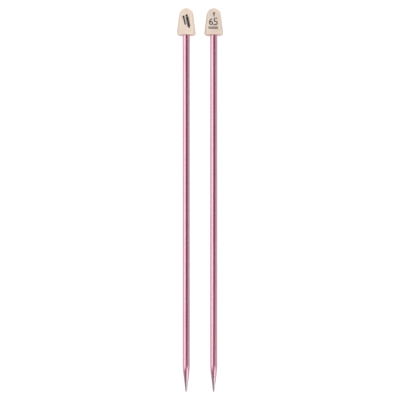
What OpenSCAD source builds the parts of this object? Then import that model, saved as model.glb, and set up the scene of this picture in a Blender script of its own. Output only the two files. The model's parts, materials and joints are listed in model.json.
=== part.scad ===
// A pair of straight, single-pointed knitting needles, lying side by side.
// Each needle is an anodised aluminium tube, swaged to a closed point. Its open end is drawn in a
// little, and a moulded plastic head is pressed on to it, up to the shoulder. The pair lies on the
// plane z = 0, as it does on a table: a needle rests on the lower edge of its head and on its shaft,
// just behind the point. The points face -Y and the heads +Y.

/* [Shaft] */
// Overall length of a needle, from its tip to the crown of its head
needle_length = 355.6; // [250:0.1:400]
// Outside diameter of the tube, which is the needle's gauge size
shaft_diameter = 6.5; // [5:0.25:8]
// Wall thickness of the tube
tube_wall = 0.9; // [0.6:0.05:1.2]

/* [Point] */
// Half angle of the cone that leads to the tip, in degrees
point_angle = 6.6; // [5:0.1:10]
// Radius of the long arc that eases the straight shaft into the cone
easing_radius = 70; // [40:1:100]
// Radius of the rounded tip
tip_radius = 0.75; // [0.5:0.05:1.2]
// Length of solid metal behind the tip, where the tube has closed up
solid_point = 12; // [8:0.5:16]

/* [Head] */
// Height of the head along the needle
head_height = 24.6; // [18:0.1:32]
// Width of the head at its base, where it is round
head_base_width = 17.8; // [15:0.1:20]
// Thickness of the head at its base, across its two flats
head_base_thickness = 13; // [11:0.1:14]
// Slope of the head's sides towards the crown, in degrees
head_slope = 7; // [3:0.05:8]
// Slope of the head's two flats towards the crown, in degrees
flat_slope = 7.5; // [3:0.05:9]
// Radius of the rounding round the head's base
base_rounding = 1; // [0.4:0.1:1.5]
// Depth of the socket that holds the end of the shaft
socket_depth = 14; // [10:0.5:16]
// How much smaller in radius the shaft's end is, where it goes into the socket
end_reduction = 0.25; // [0.2:0.05:0.35]
// How much smaller in radius the socket is than the shaft's end that is pressed into it
press_grip = 0.02; // [0:0.01:0.04]
// Width of the chamfer round the socket's mouth
mouth_chamfer = 0.4; // [0.2:0.1:0.8]

/* [Pair] */
// Distance between the centre lines of the two needles
needle_spacing = 25.5; // [22:0.5:60]

/* [Colours] */
// Anodised aluminium of the shafts
shaft_colour = "#C98FA5"; // ["#C98FA5":Pink, "#9FB4D6":Blue, "#B9B9BE":Grey]
// Moulded plastic of the heads
head_colour = "#EBDCC8"; // ["#EBDCC8":Cream, "#D8D8D8":Pearl grey]

/* [Hidden] */
$fn = 96;
LEFT = -1;
RIGHT = 1;
clearance = 1; // how far a cutting shape runs past the face that it cuts

shaft_radius = shaft_diameter / 2;
bore_radius = shaft_radius - tube_wall;
end_radius = shaft_radius - end_reduction;
head_base_radius = head_base_width / 2;
head_base_z = needle_length - head_height;
shaft_end_z = head_base_z + socket_depth;

// The cone starts where it is tangent to the tip's sphere and ends where it is tangent to the arc.
cone_start = [tip_radius * cos(point_angle), tip_radius * (1 - sin(point_angle))];
cone_end_radius = shaft_radius - easing_radius * (1 - cos(point_angle));
cone_end = [cone_end_radius, cone_start[1] + (cone_end_radius - cone_start[0]) / tan(point_angle)];
straight_start_z = cone_end[1] + easing_radius * sin(point_angle);

// The crown is the part of a sphere that meets the head's sides smoothly and reaches its full height.
base_round_x = head_base_radius - base_rounding * (1 + sin(head_slope)) / cos(head_slope);
crown_radius = (head_base_radius * cos(head_slope) - head_height * sin(head_slope))
    / (1 - sin(head_slope));
crown_z = head_height - crown_radius;

// A needle at rest touches the plane with the lower edge of its head, and with the easing arc
// where that arc runs level. Its tip hangs a little above the plane.
rest_run = head_base_z - straight_start_z;
rest_rise = head_base_thickness / 2 + easing_radius - shaft_radius;
rest_tilt = atan(rest_rise / rest_run) - asin(easing_radius / norm([rest_run, rest_rise]));
axis_height_at_tip = head_base_thickness / 2 * cos(rest_tilt) - head_base_z * sin(rest_tilt);
reach = (head_base_z + crown_z) * cos(rest_tilt) + crown_radius;

// A point on a circle, at an angle above the horizontal
function on_circle(centre, radius, angle) = centre + radius * [cos(angle), sin(angle)];

// Half outline of the solid shaft: rounded tip, cone, easing arc, straight tube and reduced end
module shaft_outline() {
    intersection() {
        translate([0, tip_radius]) circle(tip_radius);
        square(cone_start);
    }
    polygon([[0, cone_start[1]], cone_start, cone_end, [0, cone_end[1]]]);
    intersection() {
        translate([shaft_radius - easing_radius, straight_start_z]) circle(easing_radius);
        translate([0, cone_end[1]]) square([shaft_radius, straight_start_z - cone_end[1]]);
    }
    translate([0, straight_start_z]) square([shaft_radius, head_base_z - straight_start_z]);
    translate([0, straight_start_z]) square([end_radius, shaft_end_z - straight_start_z]);
}

// Half outline of the hollow inside the tube, which closes where the point was swaged
module bore_outline() {
    polygon([
        [0, solid_point],
        [bore_radius, straight_start_z],
        [bore_radius, shaft_end_z + clearance],
        [0, shaft_end_z + clearance],
    ]);
}

// One shaft, standing on its tip at the origin
module needle_shaft() {
    rotate_extrude() difference() {
        shaft_outline();
        bore_outline();
    }
}

// Half outline of the head before its flats are cut: rounded base, sloping side, domed crown
module head_outline() {
    base_round = [base_round_x, base_rounding];
    crown = [0, crown_z];
    intersection() {
        union() {
            polygon([
                [0, 0],
                [base_round_x, 0],
                on_circle(base_round, base_rounding, head_slope),
                on_circle(crown, crown_radius, head_slope),
                [0, head_height],
            ]);
            translate(base_round) circle(base_rounding);
            translate(crown) circle(crown_radius);
        }
        square([head_base_radius, head_height]);
    }
}

// The slab between the head's two flats, which lean inwards towards the crown
module between_flats() {
    half_base = head_base_thickness / 2;
    half_top = half_base - head_height * tan(flat_slope);
    rotate([90, 0, 90])
        linear_extrude(head_base_width + 2 * clearance, center = true)
            polygon([
                [-half_base, 0],
                [half_base, 0],
                [half_top, head_height],
                [-half_top, head_height],
            ]);
}

// The blind hole for the shaft's end, with a chamfered mouth
module socket() {
    socket_radius = end_radius - press_grip;
    translate([0, 0, -clearance]) cylinder(h = socket_depth + clearance, r = socket_radius);
    cylinder(h = mouth_chamfer, r1 = socket_radius + mouth_chamfer, r2 = socket_radius);
}

// One head, standing on its base at the origin
module needle_head() {
    difference() {
        intersection() {
            rotate_extrude() head_outline();
            between_flats();
        }
        socket();
    }
}

// Lays a standing needle down at its rest slope, on the left or the right of the pair
module lay_down(side) {
    translate([side * needle_spacing / 2, -reach / 2, axis_height_at_tip])
        rotate([rest_tilt - 90, 0, 0])
            children();
}

module shaft_left() {
    color(shaft_colour) lay_down(LEFT) needle_shaft();
}

module head_left() {
    color(head_colour) lay_down(LEFT) translate([0, 0, head_base_z]) needle_head();
}

module shaft_right() {
    color(shaft_colour) lay_down(RIGHT) needle_shaft();
}

module head_right() {
    color(head_colour) lay_down(RIGHT) translate([0, 0, head_base_z]) needle_head();
}

shaft_left();
head_left();
shaft_right();
head_right();
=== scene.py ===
"""Looks of a pair of straight knitting needles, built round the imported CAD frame.

Each needle is modelled standing up in its own space: the tip is at the origin, +Z runs along the
shaft to the head, and -Y is the face that looks up when the needle lies on the table. A matrix
read from the record's mounts then lays each piece down exactly where its CAD node is.
"""

import json
import math

import bpy
from mathutils import Matrix, Vector
from mathutils.geometry import delaunay_2d_cdt


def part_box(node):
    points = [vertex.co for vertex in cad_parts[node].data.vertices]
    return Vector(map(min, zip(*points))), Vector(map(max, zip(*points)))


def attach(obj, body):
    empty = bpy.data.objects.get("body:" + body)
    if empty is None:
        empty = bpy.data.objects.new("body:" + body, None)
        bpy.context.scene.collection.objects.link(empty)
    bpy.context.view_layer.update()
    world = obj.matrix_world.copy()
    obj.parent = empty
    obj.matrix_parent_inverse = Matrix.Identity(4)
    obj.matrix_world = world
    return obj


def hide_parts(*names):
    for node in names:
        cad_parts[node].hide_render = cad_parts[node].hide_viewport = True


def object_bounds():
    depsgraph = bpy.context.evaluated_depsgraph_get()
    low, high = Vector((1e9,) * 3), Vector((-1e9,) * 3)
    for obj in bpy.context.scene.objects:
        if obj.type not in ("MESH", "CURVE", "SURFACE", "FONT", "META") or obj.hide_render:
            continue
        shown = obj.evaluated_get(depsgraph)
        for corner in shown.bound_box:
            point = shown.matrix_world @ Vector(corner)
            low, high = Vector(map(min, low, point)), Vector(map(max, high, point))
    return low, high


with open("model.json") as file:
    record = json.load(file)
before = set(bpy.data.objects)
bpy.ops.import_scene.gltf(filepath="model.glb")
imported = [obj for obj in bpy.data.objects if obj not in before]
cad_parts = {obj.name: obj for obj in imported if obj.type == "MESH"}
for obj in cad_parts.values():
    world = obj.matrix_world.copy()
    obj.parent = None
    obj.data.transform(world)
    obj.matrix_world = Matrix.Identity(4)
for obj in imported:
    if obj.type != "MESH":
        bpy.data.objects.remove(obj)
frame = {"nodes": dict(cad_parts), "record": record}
CAD_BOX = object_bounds()

MM = 0.001
SIDES = ("left", "right")

# Shaft, as in the CAD design
TUBE_WALL = 0.9 * MM
POINT_ANGLE = math.radians(6.6)
EASING_RADIUS = 70 * MM
TIP_RADIUS = 0.75 * MM
SOLID_POINT = 12 * MM
END_REDUCTION = 0.25 * MM
SOCKET_DEPTH = 14 * MM
PRESS_GRIP = 0.02 * MM

# Head, as in the CAD design
HEAD_HEIGHT = 24.6 * MM
HEAD_BASE_RADIUS = 8.9 * MM
HEAD_HALF_THICKNESS = 6.5 * MM
HEAD_SLOPE = math.radians(7)
FLAT_SLOPE = math.radians(7.5)
CROWN_RADIUS = (
    HEAD_BASE_RADIUS * math.cos(HEAD_SLOPE) - HEAD_HEIGHT * math.sin(HEAD_SLOPE)
) / (1 - math.sin(HEAD_SLOPE))
CROWN_Z = HEAD_HEIGHT - CROWN_RADIUS
CROWN_START = CROWN_Z + CROWN_RADIUS * math.sin(HEAD_SLOPE)
BASE_ROUNDING = 1.0 * MM
MOUTH_CHAMFER = 0.4 * MM

# Rounding of the ridges between the head's flats and its round sides, and how far wear and the painted
# highlight on them spread there
RIDGE_SOFTNESS = 0.7 * MM
RUBBED_AND_HIGHLIGHT_WIDTH = 0.5 * MM

# Parting line: its size, and how near the middle of the crown it starts to fade
PARTING_HEIGHT = 0.05 * MM
PARTING_WIDTH = 0.14 * MM
PARTING_FADE = 3 * MM

# Soft dent in each flat: its depth, the height of its middle, and its half length and half width
SINK_DEPTH = 0.05 * MM
SINK_MIDDLE = 0.45 * HEAD_HEIGHT
SINK_LENGTH = 0.28 * HEAD_HEIGHT
SINK_WIDTH = 3.4 * MM

# Dimple in the crown, where the plastic went in
GATE_RADIUS = 1.1 * MM
GATE_DEPTH = 0.15 * MM

# Printed marks: how far the ink stands on the flat, and how far it reaches into it
INK_HEIGHT = 0.02 * MM
INK_ROOT = 0.12 * MM

# How finely the round pieces are divided
SHAFT_SIDES = 96
RIM_STEPS = 8
SIDE_STEPS = 56
CROWN_STEPS = 64


# ---------------------------------------------------------------- places in the frame

def mount(name):
    """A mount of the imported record, by name."""
    return next(m for m in frame["record"]["mounts"] if m["name"] == name)


def needle_matrix(side):
    """The matrix that lays a standing needle down on its CAD nodes.

    With it come the heights at which the straight part of the standing needle starts and ends.
    """
    pin = mount(side + "_shaft")
    along = -Vector(pin["axis"]).normalized()
    middle = Vector(pin["pos_m"])
    half = pin["dims"]["length_mm"] * MM / 2
    lowest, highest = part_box("shaft_" + side)
    tip = middle + along * ((lowest.y - middle.y) / along.y)
    right = Vector((1, 0, 0))
    under = along.cross(right)
    matrix = Matrix.Translation(tip) @ Matrix((right, under, along)).transposed().to_4x4()
    to_middle = (middle - tip).length
    return matrix, to_middle - half, to_middle + half


def shaft_radius(side):
    return mount(side + "_shaft")["dims"]["r_mm"] * MM


# ---------------------------------------------------------------- mesh building

def mesh_object(name, points, faces, matrix=Matrix.Identity(4), sharp_angle=40):
    """A mesh laid down by a matrix. Its attribute "standing" keeps each point's place before that."""
    mesh = bpy.data.meshes.new(name)
    mesh.from_pydata([matrix @ Vector(p) for p in points], [], faces)
    standing = mesh.attributes.new("standing", "FLOAT_VECTOR", "POINT")
    standing.data.foreach_set("vector", [x for p in points for x in p])
    mesh.shade_smooth()
    mesh.set_sharp_from_angle(angle=math.radians(sharp_angle))
    obj = bpy.data.objects.new(name, mesh)
    bpy.context.scene.collection.objects.link(obj)
    return obj


def skin(rings, first_pole, last_pole):
    """Points and faces of a closed surface: equal rings in order, with a point at either end."""
    count = len(rings[0])
    points = [first_pole] + [p for ring in rings for p in ring] + [last_pole]
    last = len(points) - 1
    faces = []
    for j in range(count):
        k = (j + 1) % count
        faces.append((0, 1 + k, 1 + j))
        faces.append((last, last - count + j, last - count + k))
        for i in range(len(rings) - 1):
            a, b = 1 + i * count, 1 + (i + 1) * count
            faces.append((a + j, a + k, b + k, b + j))
    return points, faces


def arc(centre_r, centre_z, radius, start, end, steps):
    """Points (r, z) on an arc. Angles are above the outward horizontal, in radians."""
    angles = [start + (end - start) * i / steps for i in range(steps + 1)]
    return [(centre_r + radius * math.cos(a), centre_z + radius * math.sin(a)) for a in angles]


def straight(x0, y0, x1, y1, steps=2):
    """Evenly spaced points on a straight line, both ends included."""
    return [(x0 + (x1 - x0) * i / steps, y0 + (y1 - y0) * i / steps) for i in range(steps + 1)]


def lathe(profile):
    """Rings of a surface turned about Z from (r, z) points."""
    turns = [2 * math.pi * j / SHAFT_SIDES for j in range(SHAFT_SIDES)]
    return [[(r * math.cos(t), r * math.sin(t), z) for t in turns] for r, z in profile]


# ---------------------------------------------------------------- the shaft

def shaft_profile(radius, straight_start, base):
    """Tip, cone, easing arc, straight tube, open end, then back down the bore."""
    bore = radius - TUBE_WALL
    drawn_in = radius - END_REDUCTION
    end = base + SOCKET_DEPTH
    down = math.radians(-90)
    tip = arc(0, TIP_RADIUS, TIP_RADIUS, down, -POINT_ANGLE, 10)[1:]
    ease = arc(radius - EASING_RADIUS, straight_start, EASING_RADIUS, -POINT_ANGLE, 0, 14)
    cone = straight(*tip[-1], *ease[0], 8)[1:-1]
    tube = straight(radius, straight_start, radius, base, 24)[1:]
    open_end = [(drawn_in, base), (drawn_in, end), (bore, end)]
    closing = straight(bore, straight_start, 0, SOLID_POINT, 6)[:-1]
    return tip + cone + ease + tube + open_end + closing


def make_shaft(side):
    matrix, straight_start, base = needle_matrix(side)
    profile = shaft_profile(shaft_radius(side), straight_start, base)
    points, faces = skin(lathe(profile), (0, 0, 0), (0, 0, SOLID_POINT))
    return mesh_object(side + "_shaft_tube", points, faces, matrix)


# ---------------------------------------------------------------- the head

def soft_min(a, b, softness):
    """The smaller of two lengths, with a rounded change from one to the other."""
    overlap = max(softness - abs(a - b), 0) / softness
    return min(a, b) - overlap * overlap * softness / 4


def sink(across, z):
    """How far the middle of a flat has sunk as the plastic cooled."""
    return SINK_DEPTH * math.exp(-((z - SINK_MIDDLE) / SINK_LENGTH) ** 2 - (across / SINK_WIDTH) ** 2)


def round_radius_at(z):
    """Radius of the head's body before its flats are cut."""
    if z > CROWN_START:
        return math.sqrt(max(CROWN_RADIUS**2 - (z - CROWN_Z) ** 2, 0))
    return HEAD_BASE_RADIUS - z * math.tan(HEAD_SLOPE)


def head_outline(turn, z, round_radius):
    """Radius of the head's outside at a turn about its axis: the round body, cut by the two flats."""
    side = abs(math.sin(turn))
    if side < 1e-6:
        return round_radius
    flat = HEAD_HALF_THICKNESS - z * math.tan(FLAT_SLOPE) - sink(round_radius * math.cos(turn), z)
    return soft_min(round_radius, flat / side, RIDGE_SOFTNESS)


def rubbed_and_highlight_edge(point):
    """How far handling has polished a point of the head, and how much painted highlight it gets: 1 on its
    ridges and rim, 0 elsewhere.
    """
    x, y, z = point
    to_flat = HEAD_HALF_THICKNESS - z * math.tan(FLAT_SLOPE) - abs(y)
    to_round = round_radius_at(z) - math.hypot(x, y)
    ridge = math.exp(-(to_flat**2 + to_round**2) / RUBBED_AND_HIGHLIGHT_WIDTH**2)
    rim = math.exp(-(((z - BASE_ROUNDING / 3) ** 2 + min(to_round, to_flat) ** 2) / RUBBED_AND_HIGHLIGHT_WIDTH**2))
    return max(ridge, rim)


def parting_line(turn):
    """Height of the thin raised seam that the mould leaves down both sides."""
    off = abs(math.sin(turn)) * HEAD_BASE_RADIUS
    return PARTING_HEIGHT * math.exp(-(off / PARTING_WIDTH) ** 2)


def head_turns():
    """Angles round the head, closer together where the parting line needs them."""
    coarse, fine, fine_span = 2.0, 0.4, 3.2
    turns, a = [], 0.0
    while a < 360 - 1e-6:
        turns.append(math.radians(a))
        off_seam = min(a % 180, 180 - a % 180)
        ahead = min((a + fine) % 180, 180 - (a + fine) % 180)
        a += fine if min(off_seam, ahead) < fine_span - 1e-6 else coarse
    return turns


def gate_dimple(distance):
    """How far the crown dips at the moulding gate, which leaves a small stub in its middle."""
    if distance >= GATE_RADIUS:
        return 0.0
    share = distance / GATE_RADIUS
    return GATE_DEPTH * (math.sin(math.pi * share ** 0.6) ** 2)


def head_rings(socket_radius):
    """Rings from the socket's blind end, out over the base, up the sides and over the crown."""
    turns = head_turns()
    mouth = socket_radius + MOUTH_CHAMFER

    def circle(radius, z):
        return [(radius * math.cos(t), radius * math.sin(t), z) for t in turns]

    def body(z, round_radius, inset=0.0, line=1.0):
        ring = []
        for t in turns:
            r = head_outline(t, z, round_radius) - inset + parting_line(t) * line
            ring.append((r * math.cos(t), r * math.sin(t), z))
        return ring

    rings = [circle(socket_radius, z) for z in (SOCKET_DEPTH, SOCKET_DEPTH / 2, MOUTH_CHAMFER)]
    rings.append(circle(mouth, 0))
    rim = body(0, HEAD_BASE_RADIUS, inset=BASE_ROUNDING)
    for share in (0.02, 0.25, 0.5, 0.75, 0.97):
        rings.append([
            (m[0] + (p[0] - m[0]) * share, m[1] + (p[1] - m[1]) * share, 0)
            for m, p in zip(circle(mouth, 0), rim)
        ])
    for i in range(RIM_STEPS + 1):
        bend = math.pi / 2 * i / RIM_STEPS
        z = BASE_ROUNDING * (1 - math.cos(bend))
        rings.append(body(z, round_radius_at(z), inset=BASE_ROUNDING * (1 - math.sin(bend))))
    for i in range(1, SIDE_STEPS + 1):
        z = BASE_ROUNDING + (CROWN_START - BASE_ROUNDING) * i / SIDE_STEPS
        rings.append(body(z, round_radius_at(z)))
    for i in range(1, CROWN_STEPS):
        lift = HEAD_SLOPE + (math.pi / 2 - HEAD_SLOPE) * i / CROWN_STEPS
        z = CROWN_Z + CROWN_RADIUS * math.sin(lift)
        across = CROWN_RADIUS * math.cos(lift)
        rings.append(body(z - gate_dimple(across), across, line=min(across / PARTING_FADE, 1.0)))
    return rings, HEAD_HEIGHT - gate_dimple(0)


def make_head(side):
    matrix, _, base = needle_matrix(side)
    rings, top = head_rings(shaft_radius(side) - END_REDUCTION - PRESS_GRIP)
    points, faces = skin(rings, (0, 0, SOCKET_DEPTH), (0, 0, top))
    head = mesh_object(side + "_head_cap", points, faces, matrix @ Matrix.Translation((0, 0, base)), 50)
    # Mask of the ridges and rim: polished by handling, and also where a highlight is painted on the
    # cream.
    rubbed_and_highlight = head.data.attributes.new("rubbed_and_highlight", "FLOAT", "POINT")
    rubbed_and_highlight.data.foreach_set("value", [rubbed_and_highlight_edge(p) for p in points])
    return head


# ---------------------------------------------------------------- printed marks

def flat_matrix(side):
    """Space on a head's upper flat: X to the right, Y up the flat towards the crown, Z out of it."""
    matrix, _, base = needle_matrix(side)
    onto_flat = Matrix.Translation((0, -HEAD_HALF_THICKNESS, base))
    return matrix @ onto_flat @ Matrix.Rotation(math.radians(90) - FLAT_SLOPE, 4, "X")


def curve(x, y, radius, start, end, steps=20):
    """Points on an arc, with angles in degrees."""
    angles = [math.radians(start + (end - start) * i / steps) for i in range(steps + 1)]
    return [(x + radius * math.cos(a), y + radius * math.sin(a)) for a in angles]


def stroke_sections(line, width):
    """Cuts across a round-ended line of ink, from end to end: (place, direction, half width)."""
    half = width / 2
    sections = []
    for i, (x, y) in enumerate(line):
        before, after = line[max(i - 1, 0)], line[min(i + 1, len(line) - 1)]
        ahead = (Vector(after) - Vector(before)).normalized()
        sections.append((Vector((x, y)), ahead, half))
    angles = [math.radians(a) for a in (85, 70, 50, 30)]
    place, ahead, half = sections[0]
    start = [(place - ahead * half * math.sin(a), ahead, half * math.cos(a)) for a in angles]
    place, ahead, half = sections[-1]
    end = [(place + ahead * half * math.sin(a), ahead, half * math.cos(a)) for a in angles]
    return start + sections + end[::-1]


def ink_sheet(strokes):
    """All strokes of a mark as one flat sheet of triangles, with their overlaps merged."""
    whole_hull, merge_distance = 0, 1e-4
    corners, faces = [], []
    for line, width in strokes:
        sections = stroke_sections(line, width)
        for i, (place, ahead, half) in enumerate(sections):
            left = Vector((-ahead.y, ahead.x)) * half
            corners += [place - left, place + left]
            last = len(corners) - 1
            if i > 0:
                faces.append([last - 3, last - 1, last, last - 2])
    points, _, triangles, _, _, sources = delaunay_2d_cdt(corners, [], faces, whole_hull, merge_distance)
    return points, [t for t, inside in zip(triangles, sources) if inside]


def make_print(name, side, strokes):
    """A mark as a thin solid of ink, rooted in the head's flat. Its strokes are in millimetres."""
    sheet, triangles = ink_sheet(strokes)
    count = len(sheet)
    points = []
    for height in (INK_HEIGHT, -INK_ROOT):
        points += [(x * MM, y * MM, height - sink(x * MM, y * MM)) for x, y in sheet]
    faces = [tuple(t) for t in triangles] + [tuple(count + i for i in reversed(t)) for t in triangles]
    edges = {(t[i], t[(i + 1) % len(t)]) for t in triangles for i in range(len(t))}
    faces += [(count + a, count + b, b, a) for a, b in edges if (b, a) not in edges]
    return mesh_object(name, points, faces, flat_matrix(side), 30)


# The strokes below are in millimetres up and across a head's flat, from the middle of its base.
# A stroke is a list of points and a width.

def dot(x, y, width):
    """A round spot, drawn as a very short stroke."""
    return straight(x, y + 0.05, x, y - 0.05), width


def needles_strokes():
    """Two knitting needles side by side, and a row of stitches on the longer one."""
    line, knob, small_knob = 1.4, 2.2, 2.1
    strokes = [
        (straight(0.5, 17.3, 2.8, 6.0), line),
        dot(0.5, 17.3, knob),
        (straight(-2.4, 16.1, -0.8, 9.0), line),
        dot(-2.4, 16.1, small_knob),
    ]
    stitch_count, stitch_line, half_length, half_rise = 8, 0.84, 1.2, 0.36
    for i in range(stitch_count):
        x = 0.83 + 0.235 * i
        y = 15.4 - 1.15 * i
        stitch = straight(x - half_length, y - half_rise, x + half_length, y + half_rise)
        strokes.append((stitch, stitch_line))
    return strokes


def size_number_strokes():
    """The gauge size in millimetres, as plain round-ended figures."""
    line, point_line = 0.94, 0.85
    six_x, five_x, low = -2.6, 1.55, 8.4
    bowl = curve(six_x, low + 1.7, 1.35, 160, 520, 30)
    back = curve(six_x + 2.1, low + 2.3, 3.5, 180, 115, 10)
    flag = [(five_x + 1.3, low + 6.3), (five_x - 1.0, low + 6.3), (five_x - 1.2, low + 3.5)]
    belly = curve(five_x - 0.1, low + 1.8, 1.6, 110, -125, 20)
    point = straight(-0.4, low, -0.3, low)
    return [(bowl + back, line), (flag + belly, line), (point, point_line)]


def gauge_mark_strokes():
    """A small ring-headed pin near the crown, and a row of ticks on a line below the number."""
    pin_x, fine, tick_count, tick_step, first_tick = 0.1, 0.5, 10, 0.9, -4.7
    ring = curve(pin_x, 19.3, 0.75, -90, 270, 24)
    stem = straight(pin_x, 18.5, pin_x, 16.5)
    strokes = [(ring, 0.7), (stem, 0.8), (straight(-4.8, 5.0, 3.5, 5.0), fine)]
    for i in range(tick_count):
        x = first_tick + tick_step * i
        strokes.append((straight(x, 5.1, x, 6.6), fine))
    return strokes


# ---------------------------------------------------------------- materials

def new_material(name):
    """A new material, its node tree and its shader."""
    material = bpy.data.materials.new(name)
    material.use_nodes = True
    tree = material.node_tree
    return material, tree, tree.nodes["Principled BSDF"]


def add(tree, kind, inputs=None, **settings):
    """Adds a node, sets its properties, and fills its inputs with values or links."""
    node = tree.nodes.new(kind)
    for key, value in settings.items():
        setattr(node, key, value)
    for key, value in (inputs or {}).items():
        if isinstance(value, bpy.types.NodeSocket):
            tree.links.new(value, node.inputs[key])
        else:
            node.inputs[key].default_value = value
    return node


def attribute(tree, name, output):
    """A value that is stored on the points of the mesh."""
    return add(tree, "ShaderNodeAttribute", attribute_name=name).outputs[output]


def noise(tree, scale, stretch=(1, 1, 1), detail=3.0, offset=(0, 0, 0)):
    """Grey noise in the piece's own space. Scale is in features per metre."""
    place = attribute(tree, "standing", "Vector")
    mapped = add(tree, "ShaderNodeMapping", {"Vector": place, "Scale": stretch, "Location": offset})
    texture = add(
        tree,
        "ShaderNodeTexNoise",
        {"Vector": mapped.outputs["Vector"], "Scale": scale, "Detail": detail},
    )
    return texture.outputs["Fac"]


def spread(tree, value, low, high, from_low=0.3, from_high=0.7):
    """Maps a grey value to a new range, with the ends held."""
    node = add(
        tree,
        "ShaderNodeMapRange",
        {"Value": value, "From Min": from_low, "From Max": from_high, "To Min": low, "To Max": high},
    )
    return node.outputs["Result"]


def mix_colour(tree, share, a, b):
    """Mixes two colours. Each of the three may be a value or a link."""
    node = add(tree, "ShaderNodeMix", data_type="RGBA")
    for socket, value in ((node.inputs[0], share), (node.inputs[6], a), (node.inputs[7], b)):
        if isinstance(value, bpy.types.NodeSocket):
            tree.links.new(value, socket)
        else:
            socket.default_value = value
    return node.outputs[2]


def maths(tree, operation, a, b):
    """A sum, difference or product of two values or links."""
    return add(tree, "ShaderNodeMath", {0: a, 1: b}, operation=operation).outputs[0]


def anodised_aluminium(seed):
    """Drawn aluminium, dyed pink: long drawing lines, uneven dye, a turned point and a worn tip."""
    material, tree, shader = new_material("anodised_aluminium_%d" % seed)
    offset = (seed * 0.013, seed * 0.007, seed * 0.31)
    fine_lines = noise(tree, 2600, (1, 1, 0.004), 2.0, offset)
    broad_lines = noise(tree, 420, (1, 1, 0.02), 3.0, offset)
    turned_lines = noise(tree, 5200, (0.03, 0.03, 1), 2.0, offset)
    dye = noise(tree, 60, (1, 1, 0.35), 4.0, offset)
    along = add(tree, "ShaderNodeSeparateXYZ", {0: attribute(tree, "standing", "Vector")}).outputs["Z"]
    colour = mix_colour(tree, spread(tree, dye, 0, 1), (0.75, 0.395, 0.49, 1), (0.81, 0.445, 0.54, 1))
    streaks = spread(tree, fine_lines, 0.0, 0.25, 0.62, 0.74)
    colour = mix_colour(tree, streaks, colour, (0.86, 0.62, 0.68, 1))
    scuffs = spread(tree, noise(tree, 700, (1, 1, 0.5), 4.0, offset), 0.85, 1.1)
    worn = maths(tree, "MULTIPLY", spread(tree, along, 0.9, 0.0, 4 * MM, 20 * MM), scuffs)
    colour = mix_colour(tree, worn, colour, (0.56, 0.50, 0.51, 1))
    rough = maths(tree, "ADD", spread(tree, fine_lines, 0.13, 0.22), spread(tree, broad_lines, 0.0, 0.06))
    turned = spread(tree, along, 1.0, 0.0, 24 * MM, 27 * MM)
    height = maths(
        tree,
        "ADD",
        maths(tree, "MULTIPLY", turned_lines, turned),
        maths(tree, "MULTIPLY", fine_lines, maths(tree, "SUBTRACT", 1.0, turned)),
    )
    bump = add(tree, "ShaderNodeBump", {"Height": height, "Strength": 0.25, "Distance": 0.01 * MM})
    tree.links.new(colour, shader.inputs["Base Color"])
    tree.links.new(rough, shader.inputs["Roughness"])
    tree.links.new(bump.outputs["Normal"], shader.inputs["Normal"])
    shader.inputs["Metallic"].default_value = 1.0
    shader.inputs["Coat Weight"].default_value = 0.4
    shader.inputs["Coat Roughness"].default_value = 0.06
    return material


def cream_plastic(seed):
    """Moulded cream plastic: moulding grain, faint flow marks, fine specks, and polished edges that also
    carry a painted highlight, lighter on the ridges and rim.
    """
    material, tree, shader = new_material("cream_plastic_%d" % seed)
    offset = (seed * 0.021, seed * 0.017, seed * 0.05)
    darker_step = 0.08
    tone = 1.0 - darker_step * seed
    grain = noise(tree, 5200, (1, 1, 1), 2.0, offset)
    flow = noise(tree, 130, (1, 1, 0.35), 5.0, offset)
    specks = spread(tree, noise(tree, 1900, (1, 1, 1), 1.0, offset), 0.0, 0.35, 0.71, 0.76)
    rubbed_and_highlight = maths(tree, "MULTIPLY", attribute(tree, "rubbed_and_highlight", "Fac"), spread(tree, flow, 0.4, 1.0))
    dark_cream, light_cream = [
        (r * tone, g * tone, b * tone, 1) for r, g, b in ((0.745, 0.635, 0.53), (0.795, 0.685, 0.58))
    ]
    colour = mix_colour(tree, spread(tree, flow, 0, 1), dark_cream, light_cream)
    colour = mix_colour(tree, specks, colour, (0.42, 0.30, 0.20, 1))
    # Painted highlight: the ridges and rim are painted a lighter cream where light catches them; the
    # lower roughness on the next line is the real polish from handling.
    colour = mix_colour(tree, maths(tree, "MULTIPLY", rubbed_and_highlight, 0.35), colour, (0.86, 0.76, 0.66, 1))
    rough = maths(tree, "SUBTRACT", spread(tree, flow, 0.36, 0.46), maths(tree, "MULTIPLY", rubbed_and_highlight, 0.12))
    bump = add(tree, "ShaderNodeBump", {"Height": grain, "Strength": 0.3, "Distance": 0.02 * MM})
    tree.links.new(colour, shader.inputs["Base Color"])
    tree.links.new(rough, shader.inputs["Roughness"])
    tree.links.new(bump.outputs["Normal"], shader.inputs["Normal"])
    shader.inputs["Subsurface Weight"].default_value = 0.25
    shader.inputs["Subsurface Radius"].default_value = (1.0, 0.7, 0.45)
    shader.inputs["Subsurface Scale"].default_value = 1.6 * MM
    shader.inputs["IOR"].default_value = 1.49
    return material


def dark_ink():
    """Pad-printed ink, worn a little thin in places."""
    material, tree, shader = new_material("dark_ink")
    thin = noise(tree, 1500, (1, 1, 1), 4.0)
    colour = mix_colour(
        tree, spread(tree, thin, 0, 1, 0.55, 0.75), (0.018, 0.014, 0.013, 1), (0.10, 0.08, 0.065, 1)
    )
    tree.links.new(colour, shader.inputs["Base Color"])
    tree.links.new(spread(tree, thin, 0.4, 0.6), shader.inputs["Roughness"])
    return material


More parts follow.
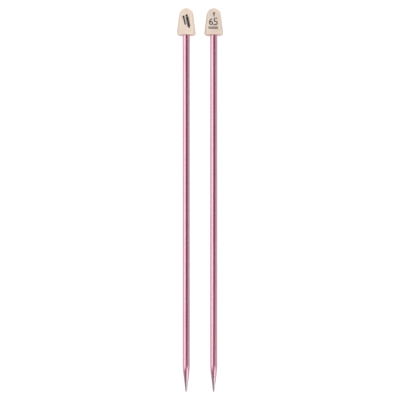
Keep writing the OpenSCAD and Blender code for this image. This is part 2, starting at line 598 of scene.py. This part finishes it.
def pale_floor():
    """A light table: a plain white top that glows, so that shadows on it stay faint."""
    material, tree, shader = new_material("pale_floor")
    shader.inputs["Base Color"].default_value = (0.30, 0.30, 0.30, 1)
    shader.inputs["Roughness"].default_value = 0.9
    shader.inputs["Specular IOR Level"].default_value = 0.1
    shader.inputs["Emission Color"].default_value = (1, 1, 1, 1)
    path = add(tree, "ShaderNodeLightPath")
    glow = spread(tree, path.outputs["Is Camera Ray"], 0.34, 0.84, 0.0, 1.0)
    tree.links.new(glow, shader.inputs["Emission Strength"])
    return material


# ---------------------------------------------------------------- the pieces

def fit(obj, side, material, slot, *replaced):
    """Gives a piece its finish and the body that it moves with, and hides the nodes it stands for."""
    obj.data.materials.append(material)
    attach(obj, "needle_" + side)
    if replaced:
        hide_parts(*replaced)


ink = dark_ink()
for number, side in enumerate(SIDES):
    fit(make_shaft(side), side, anodised_aluminium(number), "anodised_aluminium", "shaft_" + side)
    fit(make_head(side), side, cream_plastic(number), "cream_plastic", "head_" + side)
fit(make_print("left_needles_print", "left", needles_strokes()), "left", ink, "dark_ink")
fit(make_print("right_size_number_print", "right", size_number_strokes()), "right", ink, "dark_ink")
fit(make_print("right_gauge_mark_print", "right", gauge_mark_strokes()), "right", ink, "dark_ink")

# CAD nodes are hidden behind the pieces above, and still carry the same finishes.
for number, side in enumerate(SIDES):
    for node, material in (("shaft_", "anodised_aluminium_%d"), ("head_", "cream_plastic_%d")):
        slots = frame["nodes"][node + side].data.materials
        slots.clear()
        slots.append(bpy.data.materials[material % number])


# ---------------------------------------------------------------- stage, light and camera

def soft_box(name, across, tilt, distance, width, length, radiance):
    """A soft box aimed at the middle of the pair. It lights the scene and shows in reflections.

    Its place is given by angles in degrees from straight up: across towards +X, and tilt towards +Y.
    """
    a, t = math.radians(across), math.radians(tilt)
    towards = Vector((math.sin(a) * math.cos(t), math.sin(t), math.cos(a) * math.cos(t)))
    data = bpy.data.lights.new(name, "AREA")
    data.shape = "RECTANGLE"
    data.size, data.size_y = width, length
    data.energy = radiance * math.pi * width * length
    obj = bpy.data.objects.new(name, data)
    bpy.context.scene.collection.objects.link(obj)
    side = Vector((0, 1, 0)).cross(towards).normalized()
    turn = Matrix((side, towards.cross(side), towards)).transposed().to_4x4()
    obj.matrix_world = Matrix.Translation(towards * distance) @ turn
    obj.visible_camera = False


def make_floor():
    """A wide table top, flush with the plane that the needles lie on."""
    half = 6.0
    corners = [(-half, -half, 0), (half, -half, 0), (half, half, 0), (-half, half, 0)]
    floor = mesh_object("table_top", corners, [(0, 1, 2, 3)])
    floor.data.materials.append(pale_floor())


def make_world():
    """Pale to the camera. To everything else, a dim studio: paler low down, faintly rose overhead."""
    world = bpy.data.worlds.new("studio")
    bpy.context.scene.world = world
    world.use_nodes = True
    tree = world.node_tree
    background = tree.nodes["Background"]
    direction = add(tree, "ShaderNodeTexCoord").outputs["Generated"]
    height = add(tree, "ShaderNodeSeparateXYZ", {0: direction}).outputs["Z"]
    room = spread(tree, height, 0.38, 0.19, 0.1, 0.5)
    by_camera = add(tree, "ShaderNodeLightPath").outputs["Is Camera Ray"]
    seen = add(tree, "ShaderNodeMix", {"Factor": by_camera, "A": room, "B": 1.0}, data_type="FLOAT")
    by_others = maths(tree, "SUBTRACT", 1.0, by_camera)
    overhead = maths(tree, "MULTIPLY", spread(tree, height, 0.0, 1.0, 0.3, 0.6), by_others)
    tint = mix_colour(tree, overhead, (1, 1, 1, 1), (1.0, 0.77, 0.86, 1))
    tree.links.new(tint, background.inputs["Color"])
    tree.links.new(seen.outputs["Result"], background.inputs["Strength"])


def make_camera():
    """Straight above the pair, looking down, with the heads at the top of the picture."""
    distance, width_seen, towards_heads = 0.8, 0.3699, 0.56 * MM
    data = bpy.data.cameras.new("camera")
    data.sensor_width = 36
    data.lens = data.sensor_width * distance / width_seen
    camera = bpy.data.objects.new("camera", data)
    bpy.context.scene.collection.objects.link(camera)
    needle_height = (CAD_BOX[0].z + CAD_BOX[1].z) / 2
    camera.location = (0, towards_heads, needle_height + distance)
    bpy.context.scene.camera = camera


make_floor()
make_world()
for name, *values in (
    # name, across and tilt in degrees, distance, width and length in metres, radiance
    ("left_soft_box", -53, 4, 0.9, 1.15, 1.07, 1.34),
    ("right_soft_box", 72, 4, 1.0, 0.65, 1.07, 0.5),
    ("front_right_soft_box", 45, -40, 1.2, 1.39, 0.7, 1.3),
    ("back_left_soft_box", -35, 50, 1.3, 0.9, 1.2, 0.8),
    ("back_right_soft_box", 35, 50, 1.3, 0.9, 1.2, 2.6),
    ("front_soft_box", 15, -68, 1.3, 1.4, 0.7, 3.0),
):
    soft_box(name, *values)
make_camera()
bpy.context.scene.view_settings.view_transform = "Standard"
